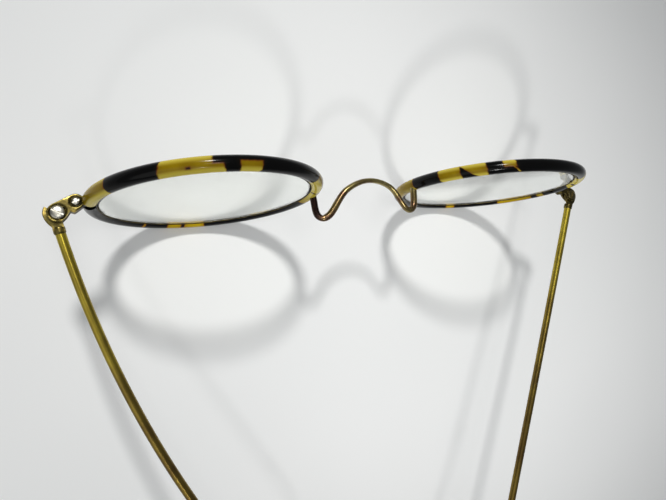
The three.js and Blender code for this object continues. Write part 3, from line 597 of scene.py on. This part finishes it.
def end_piece_reach(side, way, height, slotted):
    """How far the end piece runs from its closing screw in each direction at some height: out to
    the hull of its two bosses or its neck, and no further than the rim's seat, the room of the
    folded collar and, where slotted, the temple eye's slot and the room of its neck and heel."""
    ray = np.stack([np.cos(way), np.sin(way)], -1)
    share = np.linspace(0, 1, HULL_STEPS)[:, None]
    centre = share * (HINGE - CLOSING)
    boss = CLOSING_BOSS + share[:, 0] * (HINGE_BOSS - CLOSING_BOSS)
    ahead = centre @ ray.T
    left = boss[:, None] ** 2 - np.sum(centre**2, 1)[:, None] + ahead**2
    hull = np.max(np.where(left >= 0, ahead + np.sqrt(np.maximum(left, 0)), 0), axis=0)
    inward = np.maximum(-ray[:, 0], BARELY)
    sideways = np.maximum(np.abs(ray[:, 1]), BARELY)
    to_side = np.where(ray[:, 1] > 0, NECK_HALF - CLOSING[1], NECK_HALF + CLOSING[1])
    neck = np.minimum(NECK_LONGEST, to_side / sideways) * (ray[:, 0] < 0)
    seat = (CLOSING[0] - np.sqrt(RIM_SEAT**2 - (height + END_PIECE_RAISE) ** 2)) / inward
    reach = np.minimum(np.maximum(hull, neck), seat)
    c, s = np.cos(CLOSED_FOLD[side]), np.sin(CLOSED_FOLD[side])
    fold = np.array([[c, s], [-s, c]])
    here, heading = (CLOSING - HINGE) @ fold, ray @ fold
    rooms = [COLLAR_ROOM[side]] + [NECK_ROOM] * slotted
    for front, start in rooms:
        wall = np.array([-front, -start]) - here
        when = wall / np.where(np.abs(heading) < BARELY, BARELY, heading)
        into = heading * (1, -1) > 0
        enter = np.max(np.where(into, when, 0), axis=1)
        leave = np.min(np.where(into, np.inf, when), axis=1)
        stopped = np.minimum(reach, np.maximum(enter, LEAST_REACH))
        reach = np.where(enter < leave, stopped, reach)
    if slotted:
        toward = ray @ (HINGE - CLOSING)
        left = EYE_ROOM**2 - np.sum((HINGE - CLOSING) ** 2) + toward**2
        near = toward - np.sqrt(np.maximum(left, 0))
        reach = np.where((left > 0) & (toward > 0), np.minimum(reach, near), reach)
        stop, clear = HEEL_STOP
        past_stop = np.array([-np.sin(stop), np.cos(stop)])
        nearing = np.maximum(-ray @ past_stop, BARELY)
        reach = np.minimum(reach, ((CLOSING - HINGE) @ past_stop - clear) / nearing)
    return reach


def neighbours(ring, steps):
    """The values of a ring, with those up to some steps away on either side as further rows."""
    return np.array([np.roll(ring, shift) for shift in range(-steps, steps + 1)])


def end_piece_half(side):
    """The upper half: rings of the reach, one above the other, from the saw cut up past the slot,
    round the top edge and in over the top, which is dimpled round each screw head. Also gives a
    mark at each point: rubbed brass and painted highlight, most on the rounded edge, and less
    than nought for painted shade in a dimple and near the rim's seat."""
    way = np.linspace(0, 2 * np.pi, END_PIECE_COLUMNS, endpoint=False)
    ray = np.stack([np.cos(way), np.sin(way)], -1)
    shoulder = END_PIECE_TOP - END_PIECE_ROUND
    bend = np.linspace(0, np.pi / 2, END_PIECE_BEND_RINGS)
    bend_heights = shoulder + END_PIECE_ROUND * np.sin(bend)
    bend_insets = END_PIECE_ROUND * (1 - np.cos(bend))
    levels = [
        (END_PIECE_SAW, True, 0.0, 0.0),
        (END_PIECE_SAW, True, 0.0, 1.0),
        (SLOT_HALF, True, 0.0, 1.0),
        (SLOT_HALF, False, 0.0, 1.0),
    ]
    levels += [(height, False, inset, 1.0) for height, inset in zip(bend_heights, bend_insets)]
    levels += [(END_PIECE_TOP, False, END_PIECE_ROUND, scale) for scale in END_PIECE_TOP_RINGS]
    rings, wear = [], []
    for height, slotted, inset, scale in levels:
        reach = end_piece_reach(side, way, height, slotted)
        reach = neighbours(reach, TIGHTEST_STEPS).min(axis=0)
        if not slotted:
            reach = np.minimum(reach, neighbours(reach, SOFTENED_STEPS).mean(axis=0))
        spot = CLOSING + ((reach - inset) * scale)[:, None] * ray
        dip = 0 * way
        # Painted shade near the rim's seat and, on the top, in the hollows round the screw heads.
        painted_shade = np.clip((RIM_SHADE_EDGE - spot[:, 0]) / RIM_SHADE_FADE, 0, 1)
        if height == END_PIECE_TOP:
            for screw, radius, width, dark in SCREW_DIMPLES:
                off = np.linalg.norm(spot - screw, axis=1) - radius
                hollow = np.exp(-((off / width) ** 2))
                dip = np.maximum(dip, DIMPLE_DEPTH * hollow)
                painted_shade = np.maximum(painted_shade, dark * hollow)
        rings.append(np.column_stack([spot, height - dip]))
        wear.append(EDGE_RUB_AND_SHEEN[side] * (height > shoulder) * scale**EDGE_FADE - painted_shade)
    return np.array(rings), np.array(wear)


for side in EYES:
    upper, wear = end_piece_half(side)
    for half, flip in (("upper", 1), ("lower", -1)):
        node = f"{side}_{half}_end_piece"
        block = on_eye(side, upper * (1, 1, flip) + (0, 0, END_PIECE_RAISE))
        end_piece = made(node, "front", grimy_brass_with_painted_light, [block], crease=32, edge_wear=wear)

# Screws: small steel screws with domed, slotted heads. The outer one is the temple's hinge pin,
# the inner one draws the end pieces together and closes the eyewire on the lens. Those on the
# left are polished; those on the right are a darker copy, partly browned and partly painted
# shade.

SCREWS = {
    "hinge": {"at": HINGE, "head": 1.1, "height": 0.4, "shank": 0.6},
    "closing": {"at": CLOSING, "head": 0.6, "height": 0.3, "shank": 0.34},
}
HEAD_SUNK = 0.04
HEAD_RIM_SHARE = 0.35
HEAD_ROWS = 41
SCREW_SLOT = (0.26, 0.16)
SCREW_SLOT_TURN = {
    "left_hinge": 0.5,
    "left_closing": -0.4,
    "right_hinge": 1.1,
    "right_closing": 0.2,
}
STUB_PROUD = 0.05
STUB_INSIDE = 0.3
STUB_TAPER = 0.7
STUB_COLUMNS = 32
STEEL_TONES = ((0.3, (0.34, 0.32, 0.26)), (0.62, (0.52, 0.50, 0.43)))
BROWNED_AND_SHADED_COLOURS = ((0.07, 0.055, 0.022, 1), (0.20, 0.16, 0.07, 1))

steel, shader, add, join = new_finish("polished_steel")
film = flecks(add, scale=700.0, detail=2.0)
tone = toned(add, film, STEEL_TONES)
join(tone.outputs["Color"], shader.inputs["Base Color"])
shader.inputs["Metallic"].default_value = 1.0
join(spread(add, film, new=(0.26, 0.36)), shader.inputs["Roughness"])
# The right screws get a darker copy of the steel: partly browned, partly painted shade.
browned_and_shaded_steel = steel.copy()
browned_and_shaded_steel.name = "browned_and_shaded_steel"
browned_and_shaded_stops = browned_and_shaded_steel.node_tree.nodes[tone.name].color_ramp.elements
for stop, colour in zip(browned_and_shaded_stops, BROWNED_AND_SHADED_COLOURS):
    stop.color = colour
SCREW_FINISHES = {"left": steel, "right": browned_and_shaded_steel}


def screw_head(radius, height):
    """A domed head as rows across the slot: each row runs over the dome from rim to rim, where
    the dome's height falls off as an ellipse and is cut down to the slot's floor inside it."""
    width, depth = SCREW_SLOT
    foot = END_PIECE_TOP - HEAD_SUNK
    shoulder = foot + HEAD_RIM_SHARE * height
    across = np.sin(np.linspace(-np.pi / 2, np.pi / 2, HEAD_ROWS))
    slot_walls = np.repeat([-width / 2, width / 2], 2)
    rows = np.sort(np.concatenate([radius * across, slot_walls]))
    cut = np.abs(rows) < width / 2
    walls = np.flatnonzero(np.isclose(np.abs(rows), width / 2))
    cut[walls[[1, 2]]] = True
    chord = np.sqrt(np.maximum(radius**2 - rows**2, 0))
    x = chord[:, None] * across
    y = np.repeat(rows[:, None], len(across), axis=1)
    inner = np.clip(1 - (x**2 + y**2) / radius**2, 0, 1)
    z = shoulder + (height + foot - shoulder) * np.sqrt(inner)
    z = np.where(cut[:, None], np.minimum(z, foot + height - depth), z)
    dome = np.stack([x, y, z], -1)
    skirt = dome[:, [-1, 0]] * (1, 1, 0) + (0, 0, foot)
    return np.concatenate([dome, skirt], axis=1)


for side in EYES:
    for name, screw in SCREWS.items():
        flat_head = screw_head(screw["head"], screw["height"])
        head = turned_about_z(flat_head, SCREW_SLOT_TURN[f"{side}_{name}"])
        tail, shank = -END_PIECE_TOP, screw["shank"]
        stub_profile = [
            (0, tail - STUB_PROUD),
            (STUB_TAPER * shank, tail - STUB_PROUD),
            (shank, tail),
            (shank, tail + STUB_INSIDE),
            (0, tail + STUB_INSIDE),
        ]
        stub = turned(stub_profile, STUB_COLUMNS)[:, :, [0, 2, 1]]
        corner = (*screw["at"], END_PIECE_RAISE)
        ends = [on_eye(side, end + corner) for end in (head, stub)]
        node = f"{side}_{name}_screw"
        fixing = made(node, "front", SCREW_FINISHES[side], ends, crease=32)

# Temple butts: a flat brass eye on the hinge screw, with a heel on its outer front that stops
# the opening, and a neck with a collar in which the temple wire is soldered.

BUTT_HALF = 0.3
BUTT_ROUND = 0.1
BUTT_EYE = 1.35
BUTT_NECK = (-0.35, 1.45)
BUTT_END = 2.6
HEEL_RADIUS = 2.3
HEEL_SPAN = (5, 42)
FLARE_POINTS = 24
HEEL_POINTS = 30
EYE_POINTS = 60
BUTT_BEND_RINGS = 4
COLLAR = (2.1, 3.4)
COLLAR_RADIUS = 0.98
COLLAR_FRONT = ((0, -0.02), (0.62, 0.0), (0.85, 0.06), (0.94, 0.2), (COLLAR_RADIUS, 0.4))
COLLAR_BACK = ((COLLAR_RADIUS, -0.3), (0.95, -0.12), (0.86, 0.0), (0, 0.0))
COLLAR_COLUMNS = 48
# The collar is painted partly bright all over: rubbed brass and painted highlight.
COLLAR_RUB_AND_SHEEN = 0.6
SHAFT_OUTSET = 0.55
TEMPLES = {
    "left": {"fold": 10.6, "bow": 17.1, "drop": 9.771882},
    "right": {"fold": 14.6, "bow": 0.7, "drop": 7.114788},
}


def on_temple(side, points):
    """Points drawn straight back from the hinge, folded inward about it and set on the eye."""
    folded = turned_about_z(points, -np.radians(TEMPLES[side]["fold"]))
    return on_eye(side, folded + (*HINGE, END_PIECE_RAISE))


def along(profile_grid, start, heading):
    """A turned shape drawn along y, stood on a line: y runs along the heading from the start."""
    heading = np.asarray(heading, float) / np.linalg.norm(heading)
    across = np.cross(heading, (0, 0, 1))
    across /= np.linalg.norm(across)
    up = np.cross(across, heading)
    return profile_grid @ np.array([across, heading, up]) + start


heel_start, heel_stop = np.radians(HEEL_SPAN)
heel_corner = HEEL_RADIUS * np.array([np.cos(heel_start), np.sin(heel_start)])
neck_corner = np.array([BUTT_NECK[1], -COLLAR[0]])
flare_knee = np.array([heel_corner[0], -COLLAR[0] / 2])
t = np.linspace(0, 1, FLARE_POINTS)[:, None]
flare = (1 - t) ** 2 * neck_corner + 2 * t * (1 - t) * flare_knee + t**2 * heel_corner
heel_arc = np.linspace(heel_start, heel_stop, HEEL_POINTS)[1:]
eye_stop = 2 * np.pi - np.arccos(BUTT_NECK[0] / BUTT_EYE)
eye_arc = np.linspace(heel_stop, eye_stop, EYE_POINTS)
butt_outline = np.concatenate([
    [(BUTT_NECK[1], -BUTT_END)],
    flare,
    HEEL_RADIUS * np.stack([np.cos(heel_arc), np.sin(heel_arc)], -1),
    BUTT_EYE * np.stack([np.cos(eye_arc), np.sin(eye_arc)], -1),
    [(BUTT_NECK[0], -BUTT_END)],
])
bend = np.linspace(0, np.pi / 2, BUTT_BEND_RINGS)
edge_heights = BUTT_HALF - BUTT_ROUND + BUTT_ROUND * np.sin(bend)
edge_insets = BUTT_ROUND * (1 - np.cos(bend))
heights = np.concatenate([[-BUTT_HALF], -edge_heights[::-1], edge_heights, [BUTT_HALF]])
edge_rub_and_sheen = np.concatenate([[0], np.ones(2 * len(bend)), [0]])
insets = np.concatenate([[BUTT_EYE], edge_insets[::-1], edge_insets, [BUTT_EYE]])
butt_plate = np.array([
    np.column_stack([butt_outline * scale, np.full(len(butt_outline), height)])
    for scale, height in zip(1 - insets / BUTT_EYE, heights)
])
collar_profile = np.concatenate([
    np.array(COLLAR_FRONT) + (0, COLLAR[0]),
    np.array(COLLAR_BACK) + (0, COLLAR[1]),
])
for side, temple in TEMPLES.items():
    drop = np.radians(temple["drop"])
    downward = (0, -np.cos(drop), -np.sin(drop))
    collar = along(turned(collar_profile, COLLAR_COLUMNS), (SHAFT_OUTSET, 0, 0), downward)
    shells = [on_temple(side, butt_plate), on_temple(side, collar)]
    plate_rub_and_sheen = np.repeat(edge_rub_and_sheen, len(butt_outline))
    collar_rub_and_sheen = np.full(collar[..., 0].size, COLLAR_RUB_AND_SHEEN)
    wear = EDGE_RUB_AND_SHEEN[side] * np.concatenate([plate_rub_and_sheen, collar_rub_and_sheen])
    node, body = f"{side}_temple_butt", f"{side}_temple"
    butt = made(node, body, grimy_brass_with_painted_light, shells, crease=32, edge_wear=wear)

# Temple shafts: a round brass wire from the collar back to the ear. One is bowed inward from
# years of wear, the other is nearly straight, and both rise a little on their way back.

SHAFT_RADIUS = 0.83
SHAFT_SPAN = (2.56, 92.0)
SHAFT_STEPS = 120
SHAFT_COLUMNS = 32
BOW_LENGTH = 60.0
PATINA_REACH = 45.0
AGED_TONES = (
    (0.1, (0.11, 0.065, 0.02)),
    (0.3, (0.24, 0.17, 0.03)),
    (0.46, (0.45, 0.35, 0.04)),
    (0.62, (0.58, 0.46, 0.06)),
)

brass, shader, add, join = new_finish("aged_brass")
tarnish = flecks(add, scale=190.0, detail=3.0)
faint = spread(add, tarnish, old=(0.3, 0.7), new=(0.43, 0.6))
tone = toned(add, shifted(add, "patina", share=-0.34, value=faint), AGED_TONES)
join(tone.outputs["Color"], shader.inputs["Base Color"])
shader.inputs["Metallic"].default_value = 0.95
grained(shader, add, join, scale=2600.0, dullness=(0.24, 0.38), strength=0.1, deep=0.00006)


def bowed(side, back, height):
    """A side view (distance back, height) bent sideways: along the first part the line turns
    inward on an arc, and past that it runs on straight. Returns points and the way across."""
    radius = BOW_LENGTH / np.radians(TEMPLES[side]["bow"])
    turn = np.minimum(back, BOW_LENGTH) / radius
    beyond = np.maximum(back - BOW_LENGTH, 0)
    inward = radius * (1 - np.cos(turn)) + beyond * np.sin(turn)
    rearward = radius * np.sin(turn) + beyond * np.cos(turn)
    points = np.stack([SHAFT_OUTSET - inward, -rearward, height], -1)
    return points, np.stack([np.cos(turn), -np.sin(turn), 0 * turn], -1)


for side, temple in TEMPLES.items():
    drop = np.radians(temple["drop"])
    distance = np.linspace(*SHAFT_SPAN, SHAFT_STEPS)
    shaft_line, sideways = bowed(side, distance * np.cos(drop), -distance * np.sin(drop))
    shaft_skin = wire(shaft_line, sideways, SHAFT_RADIUS, SHAFT_RADIUS, SHAFT_COLUMNS)
    aged = np.clip(np.pad(distance, 1, mode="edge") / PATINA_REACH, 0, 1)
    patina = np.repeat(aged, SHAFT_COLUMNS)
    shells = [on_temple(side, shaft_skin)]
    shaft = made(f"{side}_temple_shaft", f"{side}_temple", brass, shells, patina=patina)

# Ear curls: a springy cable, fine brass wire wound tightly over a steel core, joined to the
# shaft by a ferrule, curled down behind the ear and closed with a rounded tip.

EAR_JOINT_GAP = 0.1
EAR_STRAIGHT = 5.0
EAR_ARCS = ((13.0, np.radians(80)), (18.0, np.radians(75)))
CABLE_RADIUS = 0.8
CABLE_WINDING = 0.36
CABLE_GROOVE = 0.09
CABLE_STEPS = 1000
CABLE_COLUMNS = 24
FERRULE_HALF = 2.5
FERRULE_RADIUS = 1.14
FERRULE_EDGE = np.array([(0.9, 0.0), (1.06, 0.03), (FERRULE_RADIUS, 0.16)])
FERRULE_WAIST = [(1.07, -0.35), (1.05, -0.25), (1.05, 0.25), (1.07, 0.35)]
TIP_RADIUS = 1.15
TIP_LENGTH = 3.0
TIP_MOUTH = [(0, 0.1), (0.9, 0.1), (1.0, 0.25), (1.08, 0.7)]
TIP_DOME_POINTS = 12
FITTING_COLUMNS = 40
FITTING_PATINA = 0.6


def ear_line(side, run):
    """The curl's line for some length along it: straight on from the shaft, then an arc over the
    ear and a wider one behind it, both turning down in the side view."""
    drop = np.radians(TEMPLES[side]["drop"])
    straight = EAR_STRAIGHT - EAR_JOINT_GAP
    begin = SHAFT_SPAN[1] + EAR_JOINT_GAP
    back = (begin + np.minimum(run, straight)) * np.cos(drop)
    height = -(begin + np.minimum(run, straight)) * np.sin(drop)
    used, slope = straight, drop
    for radius, sweep in EAR_ARCS:
        bend = np.clip((run - used) / radius, 0, sweep)
        back = back + radius * (np.sin(slope + bend) - np.sin(slope))
        height = height + radius * (np.cos(slope + bend) - np.cos(slope))
        used, slope = used + radius * sweep, slope + sweep
    return bowed(side, back, height)


def wound(line, sideways, run):
    """A cable along a line: a round wire whose radius dips by the groove between the turns, as
    the sine of the length along it and of half the way round, so that the groove is a helix."""
    plain = wire(line, sideways, 1.0, 1.0, CABLE_COLUMNS)
    around = np.linspace(0, 2 * np.pi, CABLE_COLUMNS, endpoint=False)
    ridge = np.abs(np.sin((np.pi * run / CABLE_WINDING)[:, None] + around / 2))
    radius = CABLE_RADIUS - CABLE_GROOVE * (1 - ridge)
    centre = line[:, None]
    skin = centre + (plain[1:-1] - centre) * radius[..., None]
    return np.concatenate([plain[:1], skin, plain[-1:]])


ear_length = EAR_STRAIGHT - EAR_JOINT_GAP + sum(radius * sweep for radius, sweep in EAR_ARCS)
run = np.linspace(0, ear_length, CABLE_STEPS)
ferrule_profile = np.concatenate([
    [(0, -FERRULE_HALF)],
    FERRULE_EDGE + (0, -FERRULE_HALF),
    FERRULE_WAIST,
    FERRULE_EDGE[::-1] * (1, -1) + (0, FERRULE_HALF),
    [(0, FERRULE_HALF)],
])
dome = np.linspace(0, np.pi / 2, TIP_DOME_POINTS)
dome_heights = TIP_LENGTH - TIP_RADIUS + TIP_RADIUS * np.sin(dome)
tip_profile = np.concatenate([
    TIP_MOUTH,
    np.stack([TIP_RADIUS * np.cos(dome), dome_heights], -1),
])
for side in TEMPLES:
    body = f"{side}_temple"
    cable_line, sideways = ear_line(side, run)
    cable_skin = on_temple(side, wound(cable_line, sideways, run))
    cable = made(f"{side}_ear_cable", body, worn_brass, [cable_skin], crease=60)
    joint, joint_way = cable_line[0], cable_line[1] - cable_line[0]
    collet = on_temple(side, along(turned(ferrule_profile, FITTING_COLUMNS), joint, joint_way))
    patina = np.full(collet[..., 0].shape, FITTING_PATINA)
    ferrule = made(f"{side}_ear_ferrule", body, brass, [collet], crease=32, patina=patina)
    end, end_way = cable_line[-1], cable_line[-1] - cable_line[-2]
    cap = on_temple(side, along(turned(tip_profile, FITTING_COLUMNS), end, end_way))
    patina = np.full(cap[..., 0].shape, FITTING_PATINA)
    tip = made(f"{side}_ear_tip", body, brass, [cap], crease=32, patina=patina)
    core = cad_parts[f"{side}_ear_core"]
    core.data.materials.clear()
    core.data.materials.append(steel)

# Table: the plain top that the glasses stand on, painted off-white, with a faint unevenness of
# tone. It lies level with the lowest points of the rims.

TABLE_HALF = 4.0
TABLE_TONES = ((0.3, (0.84, 0.845, 0.83)), (0.7, (0.89, 0.89, 0.875)))

table_paint, shader, add, join = new_finish("off_white_table")
tone = toned(add, flecks(add, scale=9.0, detail=2.0), TABLE_TONES)
join(tone.outputs["Color"], shader.inputs["Base Color"])
shader.inputs["Roughness"].default_value = 0.6
corners = np.array([(-1, -1, 0), (1, -1, 0), (1, 1, 0), (-1, 1, 0)]) * TABLE_HALF
table_mesh = bpy.data.meshes.new("table")
table_mesh.from_pydata(corners.tolist(), [], [(0, 1, 2, 3)])
table_mesh.materials.append(table_paint)
table = bpy.data.objects.new("table", table_mesh)
bpy.context.scene.collection.objects.link(table)

# Lamps: a wide soft window behind at the left, a small lamp above, and two more that throw a ring
# of shadow before and behind each rim, in an even white room.

ROOM_COLOUR = (0.91, 0.955, 1.0, 1)
ROOM_STRENGTH = 0.21
LAMPS = {
    "lamp_ahead": {
        "at": (-0.091, 0.415, 0.391),
        "aim": (0.0, -0.09, 0.0),
        "size": 0.06,
        "watts": 8.0,
        "cone": 44,
    },
    "lamp_behind": {
        "at": (-0.080, -0.188, 0.325),
        "aim": (0.09, 0.06, 0.0),
        "size": 0.05,
        "watts": 1.7,
        "cone": 42,
    },
    "lamp_above": {
        "at": (-0.05, 0.10, 0.33),
        "aim": (-0.03, 0.0, 0.0),
        "size": 0.08,
        "watts": 0.10,
    },
    "window": {
        "at": (-0.75, -0.55, 0.8),
        "aim": (0.0, 0.0, 0.0),
        "size": 1.4,
        "watts": 3.8,
    },
}


def set_up(stand, right, up, back, at):
    """A lamp or camera put in the room: its three ways and its place are its matrix's columns."""
    pose = np.eye(4)
    pose[:3] = np.column_stack([right, up, back, at])
    stand.matrix_world = Matrix(pose.tolist())
    bpy.context.scene.collection.objects.link(stand)


room = bpy.data.worlds.new("room")
room.use_nodes = True
room.node_tree.nodes["Background"].inputs["Color"].default_value = ROOM_COLOUR
room.node_tree.nodes["Background"].inputs["Strength"].default_value = ROOM_STRENGTH
bpy.context.scene.world = room
for name, lamp in LAMPS.items():
    light = bpy.data.lights.new(name, "SPOT" if "cone" in lamp else "AREA")
    if "cone" in lamp:
        light.shadow_soft_size = lamp["size"] / 2
        light.spot_size = np.radians(lamp["cone"])
        light.spot_blend = 1.0
    else:
        light.shape = "DISK"
        light.size = lamp["size"]
    light.energy = lamp["watts"]
    away = np.array(lamp["at"]) - lamp["aim"]
    away /= np.linalg.norm(away)
    across = np.cross((0, 0, 1), away)
    across /= np.linalg.norm(across)
    stand = bpy.data.objects.new(name, light)
    set_up(stand, across, np.cross(away, across), away, lamp["at"])

# Camera: held close above the left lens, looking down and to the right, past the bridge to the
# far hinge and the temples. Its place and ways come from the fit to both rims.

CAMERA_AT = (-0.05184600, 0.05420112, 0.12036339)
CAMERA_RIGHT = (0.9112452589, -0.0254158717, 0.4110792035)
CAMERA_DOWN = (-0.0789006259, -0.9903809093, 0.1136676988)
CAMERA_FORWARD = (0.4042360317, -0.1360135580, -0.9044852363)
SENSOR_WIDTH = 36.0
FOCAL_LENGTH = 28.108108
NEAREST_SEEN = 0.005

view = bpy.data.cameras.new("camera")
view.sensor_fit = "HORIZONTAL"
view.sensor_width = SENSOR_WIDTH
view.lens = FOCAL_LENGTH
view.clip_start = NEAREST_SEEN
camera = bpy.data.objects.new("camera", view)
set_up(camera, CAMERA_RIGHT, np.negative(CAMERA_DOWN), np.negative(CAMERA_FORWARD), CAMERA_AT)
bpy.context.scene.camera = camera
bpy.context.scene.view_settings.view_transform = "Standard"

bpy.context.view_layer.update()
